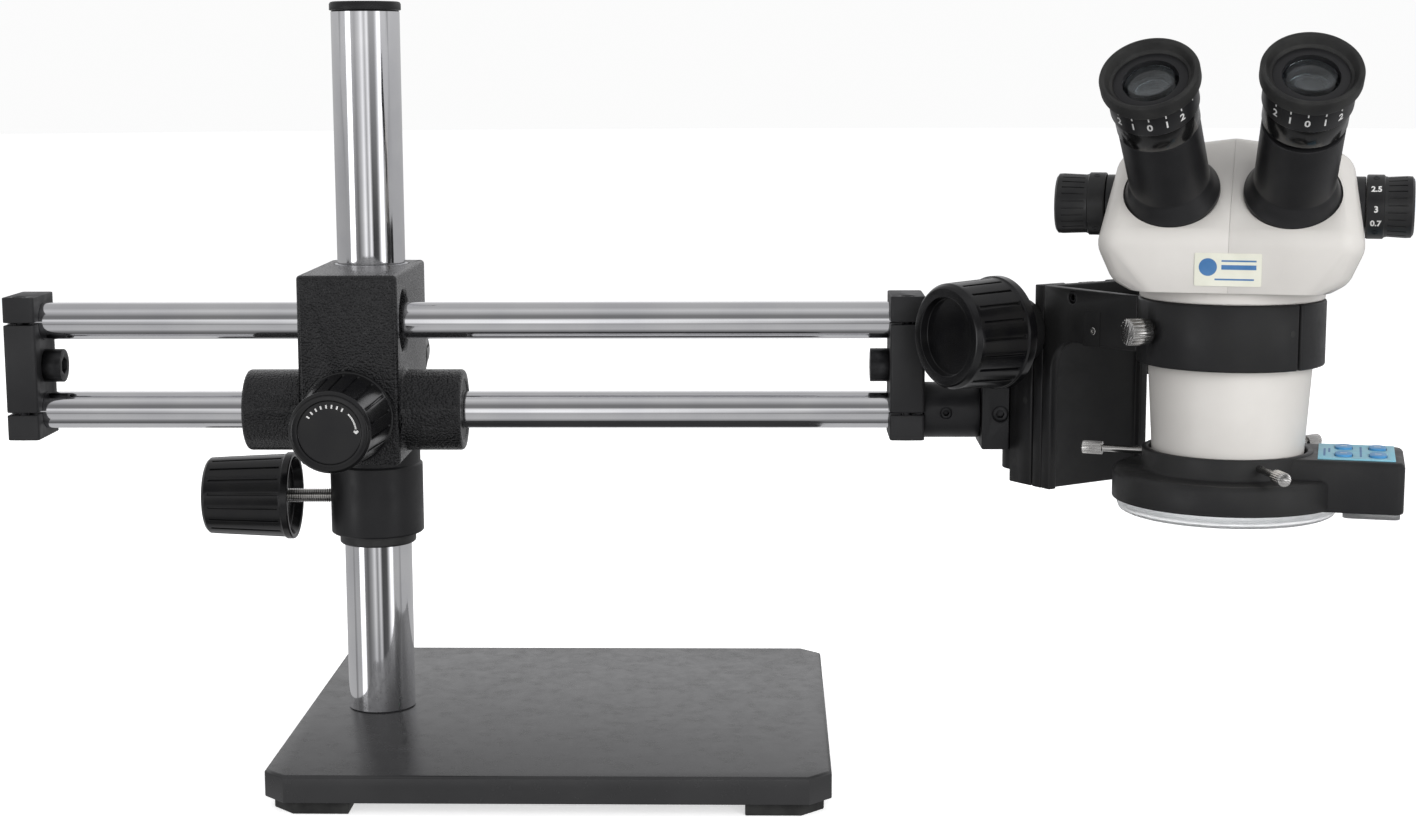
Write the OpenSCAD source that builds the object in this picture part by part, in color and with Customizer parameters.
// Stereo zoom microscope on a double-rod ball-bearing boom stand, with an LED ring light.
// Millimetres, +Z up. Z = 0 is the table. The boom runs along X and the operator sits on -Y.
// Every sub-part is first placed from the post's axis, and at_post() carries it to the row frame.

/* [Base] */
// Length of the base plate, along the boom
plate_l = 299; // [260:1:340]
// Depth of the base plate
plate_w = 271; // [240:1:300]
// Thickness of the base plate
plate_t = 15; // [12:1:20]
// Chamfer of the base plate's corners
plate_chamfer = 12; // [6:1:18]
// Height of the rubber feet
foot_h = 7; // [5:1:12]

/* [Post] */
// Radius of the post
post_r = 19; // [19:0.5:19]
// Height of the post's top above the table
post_top = 419; // [400:1:460]
// Height of the clamp screw of the stop collar
collar_screw_z = 145.5; // [140:0.5:150]

/* [Boom] */
// Radius of the boom rods
rod_r = 10; // [10:0.5:10]
// Height of the lower rod's axis
rod_z = 203.6; // [200:0.2:208]
// Spacing of the two rods
rod_pitch = 48.7; // [48:0.1:50]
// Outer face of the left end block, from the post
boom_left = -186.6; // [-200:0.1:-180]
// Outer face of the right end block, from the post
boom_right = 307.2; // [305:0.1:310]

/* [Focus mount] */
// Turn of the focus mount about Z
mount_turn = -56; // [-58:1:-50]
// Distance from the slide's front face to the head's axis
reach = 97; // [95:0.5:100]
// Height of the focus knobs' axis
pinion_z = 250; // [246:1:252]

/* [Head] */
// Turn of the head about Z
head_turn = -14; // [-20:1:0]
// Radius of the head's neck in the ring holder
neck_r = 39.8; // [39.8:0.1:39.8]
// Slope of the eyepiece tubes above the horizontal
tube_slope = 45; // [45:1:45]
// How far each eyepiece tube leans outwards
tube_splay = 5.5; // [4:0.5:7]
// How far the right eyepiece stands out of its tube
right_lift = 3; // [0:0.5:4]

/* [Ring light] */
// Outer radius of the ring light
light_r = 55.8; // [54:0.1:58]
// Length of the control box from the axis
box_reach = 84; // [80:0.5:90]
// Width of the control box
box_w = 54; // [48:1:56]

/* [Hidden] */
$fn = 64;
gap = 0.05;
post_x = -175.5;
post_y = 69.9;

plate_left = -42;
plate_front = -137;
plate_top = foot_h + plate_t;
foot_w = 41.5;
foot_inset = 4;
bolt_r = 6;
post_bore_r = 16;
post_foot = 40;
cap_t = 5;

collar_z = 125;
collar_h = 40;
collar_r = 26.25;
neck_ring_h = 11.9;
bush_r = 21.6;
stud_r = 4;

bracket_half = 26.8;
bracket_front = -81.8;
bracket_back = 22.8;
bracket_z = 177;
bracket_h = 101.8;
barrel_r = 22;
barrel_half = 59;
ball_bush_r = 16;
ball_bush_l = 42;
guide_r = 16.5;
post_bush_r = 20.6;
post_bush_h = 20;
rod_y = -57;
upper_z = rod_z + rod_pitch;
lock_z = 221;

block_t = 17.1;
right_block_t = 18.5;
block_front = -75.2;
block_back = -38.6;
block_over = 14.3;
clamp_y = -71;
sleeve_r = 15;
sleeve_end = 337.3;
pin_r = 8;
pin_end = 354;

swivel_x = 361.7;
swivel_r = 11;
swivel_pin_r = 5;
knuckle_lo = 184.6;
knuckle_hi = 223.6;

slide_x = 396.2;
slide_y = -82.3;
slide_half = 34;
slide_lo = 168;
slide_hi = 274.7;
body_hi = 262;
pinion_u = -17.5;
shaft_r = 4;
tooth_pitch = PI;
teeth = 16;
pitch_r = 8;
knob_in = 50;
knob_out = 87;
wall_t = 5;
arm_low = 247;
ring_out = 45.2;
ring_low = 243;
head_x = slide_x + reach * cos(mount_turn);
head_y = slide_y + reach * sin(mount_turn);

seam_gap = 0.1;
body_low = 281;
zoom_z = 319.7;
flange_at = [28, -31, 328];
tube_r = 18.9;
tube_bore = 15.2;
cone_low = 193;

light_low = 175.5;
light_top = 190;
collar_top = 200.6;
box_low = 174.7;
box_top = 199.7;
screw_angles = [-66, 54, 174];
button_at = [[55.5, -11], [71.5, -11], [55.5, 11], [71.5, 11]];

// ---- places ----
module at_post() translate([post_x, post_y, 0]) children();

module along_x(x, y, z) translate([x, y, z]) rotate([0, 90, 0]) children();

module along_y(x, y, z) translate([x, y, z]) rotate([-90, 0, 0]) children();

module at_mount() at_post() translate([slide_x, slide_y, 0]) rotate([0, 0, mount_turn]) children();

module at_head() at_post() translate([head_x, head_y, 0]) rotate([0, 0, head_turn]) children();

// Tube axis as +Z, its flange's centre as the origin. side is -1 for the left, 1 for the right.
module at_tube(side)
    translate([side * flange_at[0], flange_at[1], flange_at[2]])
    rotate([90 - tube_slope, 0, 0])
    rotate([0, side * tube_splay, 0]) children();

// ---- shapes ----
module ring(r_out, r_in, h) difference() {
    cylinder(r = r_out, h = h);
    translate([0, 0, -1]) cylinder(r = r_in, h = h + 2);
}

// A block from low to high, its upright edges rounded.
module upright_block(low, high, r) {
    size = high - low;
    translate(low + [r, 0, 0]) cube([size[0] - 2 * r, size[1], size[2]]);
    translate(low + [0, r, 0]) cube([size[0], size[1] - 2 * r, size[2]]);
    for (x = [low[0] + r, high[0] - r], y = [low[1] + r, high[1] - r])
        translate([x, y, low[2]]) cylinder(r = r, h = size[2]);
}

// A knob on +Z: a plain rim at the foot, then a fluted taper, then a dished face.
module fluted_knob(rim_r, face_r, h, flutes) {
    rim_h = 5;
    flute_r = 0.075 * rim_r;
    difference() {
        union() {
            cylinder(r = rim_r, h = rim_h);
            translate([0, 0, rim_h]) cylinder(r1 = rim_r - 1.2, r2 = face_r, h = h - rim_h);
        }
        for (i = [0:flutes - 1])
            rotate([0, 0, i * 360 / flutes])
                translate([rim_r - 1.2 + flute_r * 0.3, 0, rim_h + 1.5])
                    rotate([0, -atan((rim_r - 1.2 - face_r) / (h - rim_h)), 0])
                        cylinder(r = flute_r, h = h, $fn = 16);
        translate([0, 0, h - 1.5]) cylinder(r = face_r - 3.4, h = 2);
    }
}

// A socket-head cap screw, its head's seat at z = 0 and its shank along -Z.
module cap_screw(r, length, head_r, head_h) {
    difference() {
        cylinder(r = head_r, h = head_h);
        translate([0, 0, head_h * 0.4]) cylinder(r = head_r * 0.55, h = head_h, $fn = 6);
    }
    translate([0, 0, -length]) cylinder(r = r, h = length);
}

// A knurled-head thumbscrew along +Z, its head outermost.
module thumbscrew(r, from, neck, head_r, head_h) {
    translate([0, 0, from]) cylinder(r = r, h = neck - from);
    difference() {
        translate([0, 0, neck]) cylinder(r = head_r, h = head_h);
        for (i = [0:17])
            rotate([0, 0, i * 20])
                translate([head_r + 0.1, 0, neck - 1]) cylinder(r = head_r * 0.09, h = head_h + 2, $fn = 16);
    }
}

module stadium(w, l, h) {
    translate([-w / 2, -(l - w) / 2, 0]) cube([w, l - w, h]);
    for (s = [-1, 1])
        translate([0, s * (l - w) / 2, 0]) cylinder(r = w / 2, h = h);
}

// ---- base and post ----
module chamfered_outline(l, w, c)
    polygon([[c, 0], [l - c, 0], [l, c], [l, w - c], [l - c, w], [c, w], [0, w - c], [0, c]]);

module base_plate() at_post() color("#2b2c2e") difference() {
    translate([plate_left, plate_front, foot_h])
        linear_extrude(plate_t) chamfered_outline(plate_l, plate_w, plate_chamfer);
    translate([0, 0, foot_h - 1]) cylinder(r = bolt_r + 0.3, h = plate_t + 2);
    translate([0, 0, foot_h - 1]) cylinder(r = 12, h = 10);
}

module feet() at_post() color("#161617")
    for (sx = [0, 1], sy = [0, 1])
        translate([plate_left + plate_l / 2, plate_front + plate_w / 2, 0])
            mirror([sx, 0, 0]) mirror([0, sy, 0])
                translate([foot_inset - plate_l / 2, foot_inset - plate_w / 2, 0])
                    linear_extrude(foot_h)
                        polygon([[plate_chamfer, 0], [foot_w, 0], [foot_w, foot_w], [0, foot_w],
                            [0, plate_chamfer]]);

module post_tube() at_post() color("silver") difference() {
    translate([0, 0, plate_top]) cylinder(r = post_r, h = post_top - plate_top);
    translate([0, 0, plate_top + post_foot]) cylinder(r = post_bore_r, h = post_top);
    translate([0, 0, plate_top - 1]) cylinder(r = bolt_r + gap, h = 32);
}

module post_bolt() at_post() color("dimgray") {
    translate([0, 0, foot_h + 1.5]) cylinder(r = 10.4, h = 7.5, $fn = 6);
    translate([0, 0, foot_h + 9]) cylinder(r = bolt_r, h = 35);
}

module post_cap() at_post() color("#1c1c1e") {
    translate([0, 0, post_top]) cylinder(r = post_r + 0.8, h = cap_t);
    translate([0, 0, post_top - 10]) cylinder(r = post_bore_r - 0.1, h = 10);
}

// ---- stop collar ----
module stop_collar() at_post() color("#232325") difference() {
    union() {
        translate([0, 0, collar_z]) cylinder(r = collar_r, h = collar_h);
        translate([0, 0, collar_z + collar_h]) cylinder(r = collar_r - 1.25, h = neck_ring_h);
    }
    translate([0, 0, collar_z - 1]) cylinder(r = bush_r, h = collar_h + neck_ring_h + 2);
    along_x(-collar_r - 5, 0, collar_screw_z) cylinder(r = stud_r + gap, h = 20);
}

module collar_bush() at_post() color("#3a3a3c") difference() {
    translate([0, 0, collar_z - 6])
        ring(bush_r, post_r + gap, collar_h + neck_ring_h + 6);
    along_x(-collar_r - 5, 0, collar_screw_z) cylinder(r = stud_r + gap, h = 20);
}

module collar_knob() at_post() color("#141415")
    translate([-47, 0, collar_screw_z]) rotate([0, -90, 0]) difference() {
        fluted_knob(24.9, 21, 50, 16);
        translate([0, 0, -1]) cylinder(r = stud_r, h = 21);
    }

module collar_screw() at_post() color("silver")
    along_x(-67, 0, collar_screw_z) cylinder(r = stud_r, h = 67 - post_r - 0.3);

// ---- cross bracket ----
module cross_bracket() at_post() color("#1d1d1f") difference() {
    union() {
        upright_block([-bracket_half, bracket_front, bracket_z],
            [bracket_half, bracket_back, bracket_z + bracket_h], 3);
        along_x(-barrel_half, rod_y, rod_z) cylinder(r = barrel_r, h = 2 * barrel_half);
        along_y(0, bracket_back - 2, lock_z) cylinder(r = 13, h = 14);
    }
    translate([0, 0, bracket_z - 1]) cylinder(r = post_bush_r, h = bracket_h + 2);
    along_x(-barrel_half - 1, rod_y, rod_z) cylinder(r = ball_bush_r, h = 2 * barrel_half + 2);
    along_x(-barrel_half - 1, rod_y, upper_z) cylinder(r = guide_r, h = 2 * barrel_half + 2);
    along_y(0, bracket_front - 1, rod_z) cylinder(r = stud_r + gap, h = 16);
    along_y(0, 5, lock_z) cylinder(r = stud_r + gap, h = 40);
}

module bracket_bushes() at_post() color("#b8bcc0") {
    for (x = [-barrel_half + 2, barrel_half - 2 - ball_bush_l])
        along_x(x, rod_y, rod_z) ring(ball_bush_r, rod_r + gap, ball_bush_l);
    along_x(-12, rod_y, upper_z) ring(guide_r, rod_r + gap, 24);
    for (z = [bracket_z + 0.2, bracket_z + bracket_h - post_bush_h - 0.2])
        translate([0, 0, z]) ring(post_bush_r, post_r + gap, post_bush_h);
}

module tension_knob() at_post() color("#141415") {
    translate([0, -85, rod_z]) rotate([90, 0, 0]) difference() {
        fluted_knob(24.8, 20.6, 54, 16);
        translate([0, 0, -1]) cylinder(r = stud_r, h = 21);
    }
    along_y(0, -105, rod_z) cylinder(r = stud_r, h = 105 + rod_y - rod_r - 0.3);
}

module lock_knob() at_post() color("#141415") {
    translate([0, 37, lock_z]) rotate([-90, 0, 0]) difference() {
        fluted_knob(24.8, 20.6, 38, 16);
        translate([0, 0, -1]) cylinder(r = stud_r, h = 21);
    }
    along_y(0, post_r + 0.3, lock_z) cylinder(r = stud_r, h = 57 - post_r - 0.3);
}

// ---- boom ----
module boom_rods() at_post() color("silver")
    for (z = [rod_z, upper_z])
        along_x(boom_left, rod_y, z) cylinder(r = rod_r, h = boom_right - boom_left);

// An end block between two x positions. Each rod's bore is slit at the front and pinched by a
// screw that comes in from the top or the bottom.
module end_block(x_low, x_high) {
    low = rod_z - block_over;
    high = upper_z + block_over;
    mid = (x_low + x_high) / 2;
    difference() {
        upright_block([x_low, block_front, low], [x_high, block_back, high], 2);
        for (z = [rod_z, upper_z]) {
            along_x(x_low - 1, rod_y, z) cylinder(r = rod_r, h = 30);
            translate([x_low - 1, block_front - 1, z - 0.7]) cube([30, 12, 1.4]);
        }
        along_x(x_low - 1, rod_y, (rod_z + upper_z) / 2) cylinder(r = 5, h = 30);
        for (s = [-1, 1]) {
            face = s > 0 ? high : low;
            translate([mid, clamp_y, face - 28]) cylinder(r = 2.5, h = 56);
            translate([mid, clamp_y, face - 4]) cylinder(r = 3.6, h = 8);
        }
    }
}

module left_end_block() at_post() color("#2a2b2d") end_block(boom_left, boom_left + block_t);

module right_end_block() at_post() color("#2a2b2d")
    end_block(boom_right - right_block_t, boom_right);

module boom_screws() at_post() color("dimgray") {
    low = rod_z - block_over;
    high = upper_z + block_over;
    middle = (rod_z + upper_z) / 2;
    for (x = [boom_left + block_t / 2, boom_right - right_block_t / 2]) {
        translate([x, clamp_y, high - 4]) cap_screw(2.5, 20, 3.5, 3.6);
        translate([x, clamp_y, low + 4]) rotate([180, 0, 0]) cap_screw(2.5, 20, 3.5, 3.6);
    }
    translate([boom_left + block_t, rod_y, middle])
        rotate([0, 90, 0]) cap_screw(5, block_t, 9, 10);
    translate([boom_right - right_block_t, rod_y, middle])
        rotate([0, -90, 0]) cap_screw(5, right_block_t, 9, 10);
    along_y(319, rod_y - sleeve_r + 1, rod_z) difference() {
        cylinder(r = 3, h = sleeve_r - pin_r - 1);
        translate([0, 0, -1]) cylinder(r = 1.6, h = 4, $fn = 6);
    }
}

module stub_sleeve() at_post() color("#202022") difference() {
    along_x(boom_right, rod_y, rod_z) cylinder(r = sleeve_r, h = sleeve_end - boom_right);
    along_x(boom_right - 1, rod_y, rod_z) cylinder(r = pin_r, h = 40);
    along_y(319, rod_y - sleeve_r - 1, rod_z) cylinder(r = 3, h = sleeve_r);
}

module pivot_pin() at_post() color("silver")
    along_x(boom_right + 0.5, rod_y, rod_z) cylinder(r = pin_r, h = pin_end - boom_right - 0.5);

// ---- knuckle: tilts on the pivot pin, and carries the upright swivel pin ----
module knuckle_block() at_post() color("#1f1f21") difference() {
    h = knuckle_hi - knuckle_lo;
    union() {
        translate([0, 0, knuckle_lo]) linear_extrude(h)
            polygon([[sleeve_end + 0.3, -76], [352, -76], [354, -74], [354, -67], [swivel_x, -67],
                [swivel_x, -47], [356, -40], [sleeve_end + 0.3, -40]]);
        translate([swivel_x, rod_y, knuckle_lo]) cylinder(r = swivel_r, h = h);
    }
    along_x(sleeve_end, rod_y, rod_z) cylinder(r = pin_r + gap, h = pin_end - sleeve_end + 0.3);
    translate([swivel_x, rod_y, knuckle_lo - 1]) cylinder(r = swivel_pin_r, h = h + 2);
    along_y(347.5, -77, rod_z) cylinder(r = 4, h = 12);
}

module knuckle_screw() at_post() color("dimgray") along_y(347.5, -74.5, rod_z) difference() {
    cylinder(r = 4, h = 74.5 + rod_y - pin_r - gap);
    translate([0, 0, -1]) cylinder(r = 2.2, h = 4, $fn = 6);
}

module swivel_pin() at_post() color("silver")
    translate([swivel_x, rod_y, 172]) cylinder(r = swivel_pin_r, h = 64);

// ---- focus mount: local +X is forward to the head, local +Y is to the right ----
swivel_u = (swivel_x - slide_x) * cos(mount_turn) + (rod_y - slide_y) * sin(mount_turn);
swivel_v = -(swivel_x - slide_x) * sin(mount_turn) + (rod_y - slide_y) * cos(mount_turn);

module dovetail(root, tip, u_root, u_tip)
    polygon([[u_root, -root], [u_tip, -tip], [u_tip, tip], [u_root, root]]);

module focus_body() at_mount() color("#1f1f21") difference() {
    union() {
        translate([-28, -slide_half, slide_lo]) cube([17, 2 * slide_half, body_hi - slide_lo]);
        translate([0, 0, slide_lo]) linear_extrude(body_hi - slide_lo)
            dovetail(13, 17, -11.1, -5);
        for (z = [172, knuckle_hi + 0.4]) {
            translate([swivel_u, swivel_v, z]) cylinder(r = swivel_r, h = 12.2);
            translate([swivel_u, swivel_v - swivel_r, z]) cube([-28 - swivel_u, 2 * swivel_r, 12.2]);
        }
    }
    translate([-12.5, -5.4, slide_lo - 1]) cube([10, 10.8, body_hi]);
    translate([pinion_u - 9.6, -5.4, pinion_z - 9.6]) cube([19.2, 10.8, 19.2]);
    translate([pinion_u, -slide_half - 1, pinion_z]) rotate([-90, 0, 0])
        cylinder(r = shaft_r + gap, h = 2 * slide_half + 2);
    translate([swivel_u, swivel_v, 160]) cylinder(r = swivel_pin_r + gap, h = 100);
}

module shaft_bushes() at_mount() color("#2d2d30")
    for (s = [-1, 1])
        translate([pinion_u, s * slide_half, pinion_z]) rotate([-90 * s, 0, 0])
            ring(17, shaft_r + gap, knob_in - slide_half - 0.4);

module pinion_gear(h) linear_extrude(h) {
    circle(r = pitch_r - 1.3);
    for (i = [0:teeth - 1])
        rotate(i * 360 / teeth)
            polygon([[5, -1.0], [pitch_r - 1.3, -1.0], [pitch_r, -0.55], [pitch_r + 0.8, -0.25],
                [pitch_r + 0.8, 0.25], [pitch_r, 0.55], [pitch_r - 1.3, 1.0], [5, 1.0]]);
}

module pinion_shaft() at_mount() color("silver") translate([pinion_u, 0, pinion_z]) {
    rotate([-90, 0, 0]) translate([0, 0, -knob_out + 6]) cylinder(r = shaft_r, h = 2 * knob_out - 12);
    translate([0, -4.8, 0]) rotate([-90, 0, 0]) pinion_gear(9.6);
}

module focus_knob(side) at_mount() color("#141415")
    translate([pinion_u, side * knob_in, pinion_z]) rotate([-90 * side, 0, 0]) difference() {
        fluted_knob(29.5, 26.8, knob_out - knob_in, 20);
        translate([0, 0, -1]) cylinder(r = shaft_r, h = knob_out - knob_in - 5);
    }

module focus_knob_left() focus_knob(-1);

module focus_knob_right() focus_knob(1);

module focus_slide() at_mount() color("#1f1f21") difference() {
    translate([-9.6, -slide_half, slide_lo]) cube([6.6, 2 * slide_half, slide_hi - slide_lo]);
    translate([0, 0, slide_lo - 1]) linear_extrude(slide_hi - slide_lo + 2)
        dovetail(14.05, 17.12, -9.7, -4.9);
}

module rack() at_mount() color("silver") {
    low = pinion_z - 29;
    translate([-8.2, -4.8, low]) cube([3.3, 9.6, 53.5]);
    for (i = [-9:7])
        translate([0, -4.8, pinion_z + (i + 0.5) * tooth_pitch]) rotate([-90, 0, 0]) linear_extrude(9.6)
            polygon([[-8, -1.0], [-9.5, -0.55], [-10.3, -0.25], [-10.3, 0.25], [-9.5, 0.55], [-8, 1.0]]);
}

module arm_casting() at_mount() color("#1f1f21") difference() {
    fillet = 16;
    lip = 4;
    union() {
        translate([-3, -slide_half, slide_lo]) cube([3, 2 * slide_half, slide_hi - slide_lo]);
        for (v = [-slide_half, slide_half - wall_t]) {
            translate([-1, v, slide_lo]) cube([lip + 1, wall_t, slide_hi - slide_lo]);
            translate([-1, v, arm_low]) cube([76, wall_t, slide_hi - arm_low]);
            difference() {
                translate([-1, v, arm_low - fillet]) cube([lip + fillet + 1, wall_t, fillet + 1]);
                translate([lip + fillet, v - 1, arm_low - fillet]) rotate([-90, 0, 0])
                    cylinder(r = fillet, h = wall_t + 2);
            }
        }
        translate([-1, -slide_half, arm_low]) cube([70, 2 * slide_half, 4]);
    }
    translate([reach, 0, arm_low - 20]) cylinder(r = ring_out, h = 80);
    for (v = [-slide_half, slide_half - wall_t])
        translate([19, v - 1, 270]) rotate([-90, 0, 0]) cylinder(r = 3, h = wall_t + 2);
}

module ring_holder() at_mount() color("#1f1f21") difference() {
    translate([reach, 0, ring_low]) ring(ring_out, neck_r + 0.06, slide_hi - ring_low);
    translate([reach + 35, -0.6, ring_low - 1]) cube([20, 1.2, 40]);
    translate([reach, 0, 260]) rotate([0, 0, -102]) rotate([0, 90, 0]) cylinder(r = 2.55, h = 60);
}

module arm_screws() at_mount() color("dimgray")
    for (s = [-1, 1])
        translate([19, s * slide_half, 270]) rotate([-90 * s, 0, 0]) difference() {
            translate([0, 0, -wall_t]) cylinder(r = 3, h = wall_t - 0.5);
            translate([0, 0, -3]) cylinder(r = 1.6, h = 4, $fn = 6);
        }

module ring_thumbscrew() at_mount() color("silver")
    translate([reach, 0, 260]) rotate([0, 0, -102]) rotate([0, 90, 0])
        thumbscrew(2.5, neck_r + 0.4, ring_out + 2, 6.5, 11);

// ---- head ----
module pod_chassis() at_head() color("#d9d5cf") difference() {
    union() {
        translate([0, 0, ring_low - 0.1]) cylinder(r = neck_r, h = slide_hi - ring_low + 0.4);
        translate([0, 0, slide_hi + 0.3]) cylinder(r = 44.5, h = body_low - slide_hi - 0.3);
    }
    translate([0, 0, ring_low - 1]) cylinder(r = 35, h = 34);
    for (s = [-1, 1])
        translate([s * 20, 0, ring_low]) cylinder(r = 12, h = 60);
}

module lower_cone() at_head() color("#d9d5cf") difference() {
    h = ring_low - 0.1 - cone_low;
    translate([0, 0, cone_low]) cylinder(r1 = 36.4, r2 = neck_r - 0.2, h = h);
    translate([0, 0, cone_low + 5]) cylinder(r1 = 33.4, r2 = 36.4, h = h);
    for (s = [-1, 1])
        translate([s * 14, 0, cone_low - 1]) cylinder(r = 12, h = 10);
}

// The casing's outer form, grown or shrunk by d. The sloping top carries the eyepiece tubes.
module casing(d) hull() {
    r = 12 + d;
    for (s = [-1, 1]) {
        for (p = [[49.6, -38, 303.5], [49.6, 36, 303.5], [45.5, -36, 294], [45.5, 34, 294],
            [44.5, -7, 334.5], [44.5, 16, 332], [47.5, 36, 318]])
            translate([s * p[0], p[1], p[2]]) sphere(r = r, $fn = 32);
        for (y = [-34, 34])
            translate([s * 33, y, body_low - d]) cylinder(r = 14 + d, h = 1, $fn = 32);
    }
    translate([0, -1.5, 340]) sphere(r = r, $fn = 32);
    translate([0, 18, 338]) sphere(r = r, $fn = 32);
}

module shell(side) at_head() difference() {
    intersection() {
        difference() {
            casing(0);
            casing(-3);
        }
        translate([side > 0 ? seam_gap / 2 : -100, -100, body_low])
            cube([100 - seam_gap / 2, 200, 120]);
    }
    translate([0, 0, body_low - 5]) cylinder(r = 34, h = 10);
    translate([side * 61.2, 0, zoom_z]) rotate([0, 90 * side, 0]) cylinder(r = 15.9, h = 20);
    translate([side * 40, 0, zoom_z]) rotate([0, 90 * side, 0]) cylinder(r = 4.2, h = 30);
    at_tube(side) {
        translate([0, 0, -12]) cylinder(r = tube_r + 0.1, h = 30);
        translate([0, 0, -2.6]) cylinder(r = 22.9, h = 30);
    }
}

module shell_left() color("#dedad4") shell(-1);

module shell_right() color("#dedad4") shell(1);

module optics() at_head() color("lightblue", 0.5)
    for (s = [-1, 1]) {
        translate([s * 14, 0, cone_low + 1]) cylinder(r = 11.9, h = 4);
        translate([s * 24 - 12, -8, 286]) cube([24, 24, 24]);
    }

module eyetube(side) at_tube(side) difference() {
    union() {
        translate([0, 0, -2.5]) cylinder(r = 22.7, h = 3);
        translate([0, 0, 0.5]) cylinder(r1 = 22.7, r2 = tube_r + 0.3, h = 8);
        translate([0, 0, -6]) cylinder(r = tube_r, h = 53);
    }
    translate([0, 0, -7]) cylinder(r = tube_bore, h = 60);
}

module eyetubes() at_head() color("#1a1a1c")
    for (s = [-1, 1])
        eyetube(s);

module eyepiece(side, lift) at_head() at_tube(side) translate([0, 0, lift]) difference() {
    union() {
        translate([0, 0, 22]) cylinder(r = tube_bore - gap, h = 26);
        translate([0, 0, 47.2]) cylinder(r = 19.2, h = 11.8);
        translate([0, 0, 59]) cylinder(r = 20.4, h = 13);
        translate([0, 0, 72]) cylinder(r = 17, h = 3);
    }
    translate([0, 0, 21]) cylinder(r = 12, h = 50);
    translate([0, 0, 70]) cylinder(r = 12.6, h = 10);
}

module eyepiece_left() color("#1a1a1c") eyepiece(-1, 0);

module eyepiece_right() color("#1a1a1c") eyepiece(1, right_lift);

module eyecup(side, lift) at_head() at_tube(side) translate([0, 0, lift]) difference() {
    translate([0, 0, 72]) cylinder(r = 22.8, h = 7.3);
    translate([0, 0, 71]) cylinder(r = 17, h = 4.01);
    translate([0, 0, 75]) cylinder(r1 = 17, r2 = 19.5, h = 5);
}

module eyecup_left() color("#111111") eyecup(-1, 0);

module eyecup_right() color("#111111") eyecup(1, right_lift);

module zoom_shaft() at_head() color("silver")
    translate([-78, 0, zoom_z]) rotate([0, 90, 0]) cylinder(r = 4, h = 156);

module zoom_knob(side, length) at_head() color("#1b1b1d")
    translate([side * 61.5, 0, zoom_z]) rotate([0, 90 * side, 0]) difference() {
        union() {
            cylinder(r = 15.4, h = 9);
            translate([0, 0, 9]) cylinder(r1 = 15.4, r2 = 14.4, h = length - 9);
        }
        for (i = [0:23])
            rotate([0, 0, i * 15])
                translate([15.6, 0, 9.5]) rotate([0, -3.2, 0]) cylinder(r = 0.9, h = 40, $fn = 16);
        translate([0, 0, -1]) cylinder(r = 4, h = length - 4);
    }

module zoom_knob_left() zoom_knob(-1, 24.5);

module zoom_knob_right() zoom_knob(1, 22.3);

module zoom_lenses() at_head() color("lightsteelblue")
    for (s = [-1, 1])
        translate([s * 17, 0, 236]) cylinder(r = 10, h = 10);

// ---- ring light: local +X runs along its control box ----
module box_block(low, high, w) {
    translate([low[0], -w / 2, low[1]]) cube([high[0] - low[0], w, high[1] - low[1]]);
}

module light_housing() at_head() color("#1e1e20") difference() {
    union() {
        translate([0, 0, light_low]) cylinder(r = light_r, h = light_top - light_low - 2);
        translate([0, 0, light_top - 2]) cylinder(r1 = light_r, r2 = light_r - 2, h = 2);
        translate([0, 0, light_top - 1]) cylinder(r = 41.4, h = collar_top - light_top + 1);
        translate([30, -box_w / 2, box_low]) upright_block([0, 0, 0],
            [box_reach - 30, box_w, box_top - box_low], 4);
    }
    translate([0, 0, light_low - 1]) cylinder(r = 32, h = 40);
    translate([0, 0, light_top - 2]) cylinder(r = 38.4, h = 30);
    translate([0, 0, light_low - 1]) ring(53.5, 34.5, 11);
    translate([0, 0, light_low - 1]) cylinder(r = 53.5, h = 1);
    box_block([59, box_low + 3], [box_reach - 2.5, box_top - 2], box_w - 6);
    for (a = screw_angles)
        rotate([0, 0, a]) along_x(30, 0, 196.5) cylinder(r = 1.8, h = 30);
    for (p = button_at)
        translate([p[0], p[1], box_top - 4]) stadium(8.6, 13.6, 8);
    along_y(69.5, box_w / 2 - 5, 187.7) cylinder(r = 4, h = 8);
}

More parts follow.
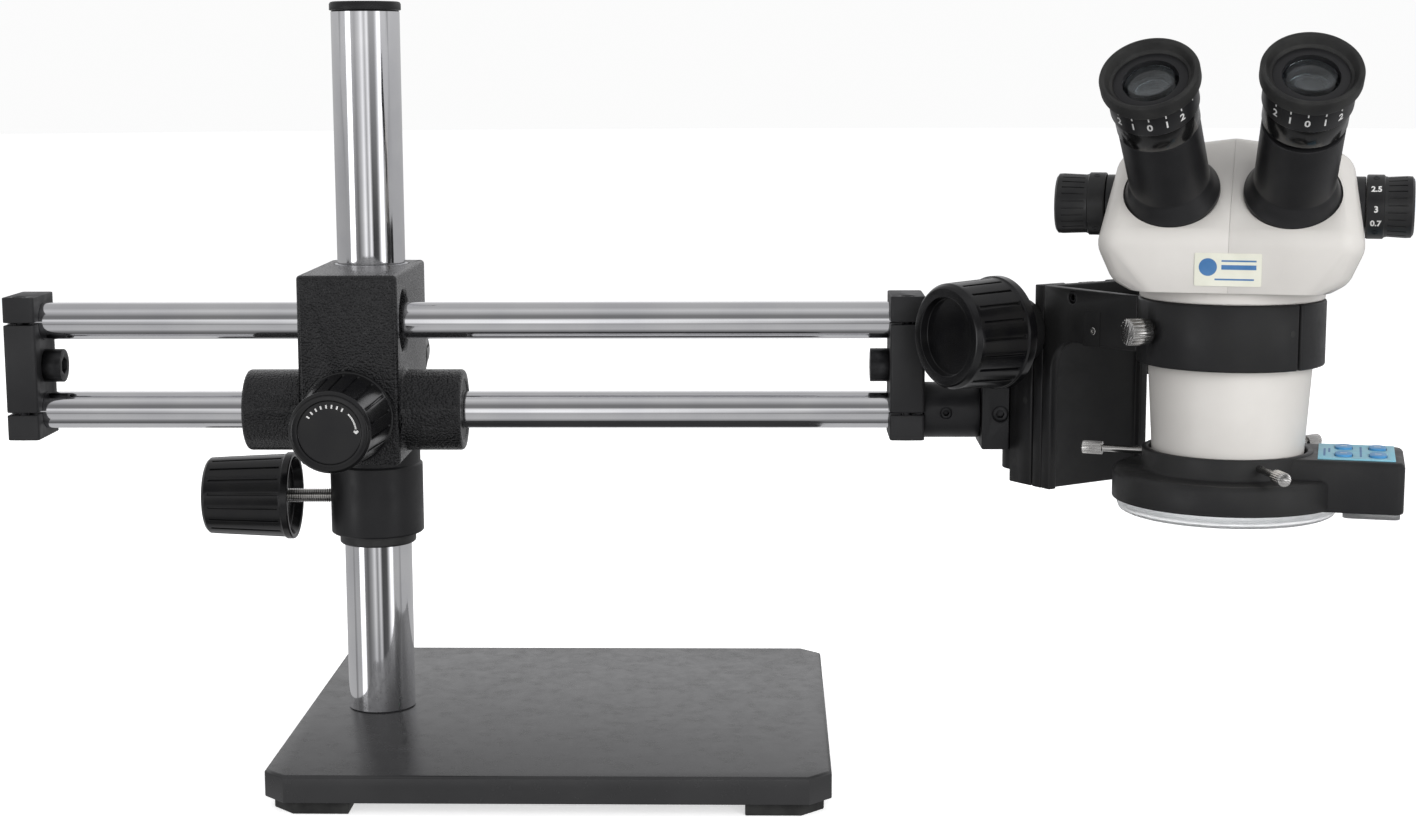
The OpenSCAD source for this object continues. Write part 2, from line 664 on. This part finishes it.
module light_lens() at_head() color("white", 0.5)
    translate([0, 0, light_low - 6.3]) difference() {
        cylinder(r1 = 51.5, r2 = 53.4, h = 8.3);
        translate([0, 0, -1]) cylinder(r = 34.6, h = 10);
    }

module led_board() at_head() color("#2f5a3c") {
    translate([0, 0, 182.5]) ring(53, 35, 1.6);
    for (i = [0:35])
        rotate([0, 0, i * 10]) translate([i % 2 == 0 ? 48 : 40, 0, 178]) cylinder(r = 2.2, h = 4.8);
}

module keypad() at_head() color("#8fc4dc") difference() {
    translate([43.5, -box_w / 2 + 5, box_top]) cube([36, box_w - 10, 0.8]);
    for (p = button_at)
        translate([p[0], p[1], box_top - 4]) stadium(8.6, 13.6, 8);
}

module button(i) at_head() color("#3f86c8")
    translate([button_at[i][0], button_at[i][1], box_top - 1.6]) stadium(8, 13, 3.4);

module button_1() button(0);

module button_2() button(1);

module button_3() button(2);

module button_4() button(3);

module light_screw(i) at_head() color("silver")
    rotate([0, 0, screw_angles[i]]) along_x(0, 0, 196.5) thumbscrew(1.75, 37, 62, 3.3, 10);

module light_screw_1() light_screw(0);

module light_screw_2() light_screw(1);

module light_screw_3() light_screw(2);

module power_jack() at_head() color("#101010") along_y(69.5, box_w / 2 - 4, 187.7) difference() {
    cylinder(r = 4, h = 5);
    translate([0, 0, 1]) ring(2.75, 1, 6);
}

base_plate();
feet();
post_tube();
post_bolt();
post_cap();
stop_collar();
collar_bush();
collar_knob();
collar_screw();
cross_bracket();
bracket_bushes();
tension_knob();
lock_knob();
boom_rods();
left_end_block();
right_end_block();
boom_screws();
stub_sleeve();
pivot_pin();
knuckle_block();
knuckle_screw();
swivel_pin();
focus_body();
shaft_bushes();
pinion_shaft();
focus_knob_left();
focus_knob_right();
focus_slide();
rack();
arm_casting();
ring_holder();
arm_screws();
ring_thumbscrew();
pod_chassis();
lower_cone();
shell_left();
shell_right();
optics();
eyetubes();
eyepiece_left();
eyepiece_right();
eyecup_left();
eyecup_right();
zoom_shaft();
zoom_knob_left();
zoom_knob_right();
zoom_lenses();
light_housing();
light_lens();
led_board();
keypad();
button_1();
button_2();
button_3();
button_4();
light_screw_1();
light_screw_2();
light_screw_3();
power_jack();
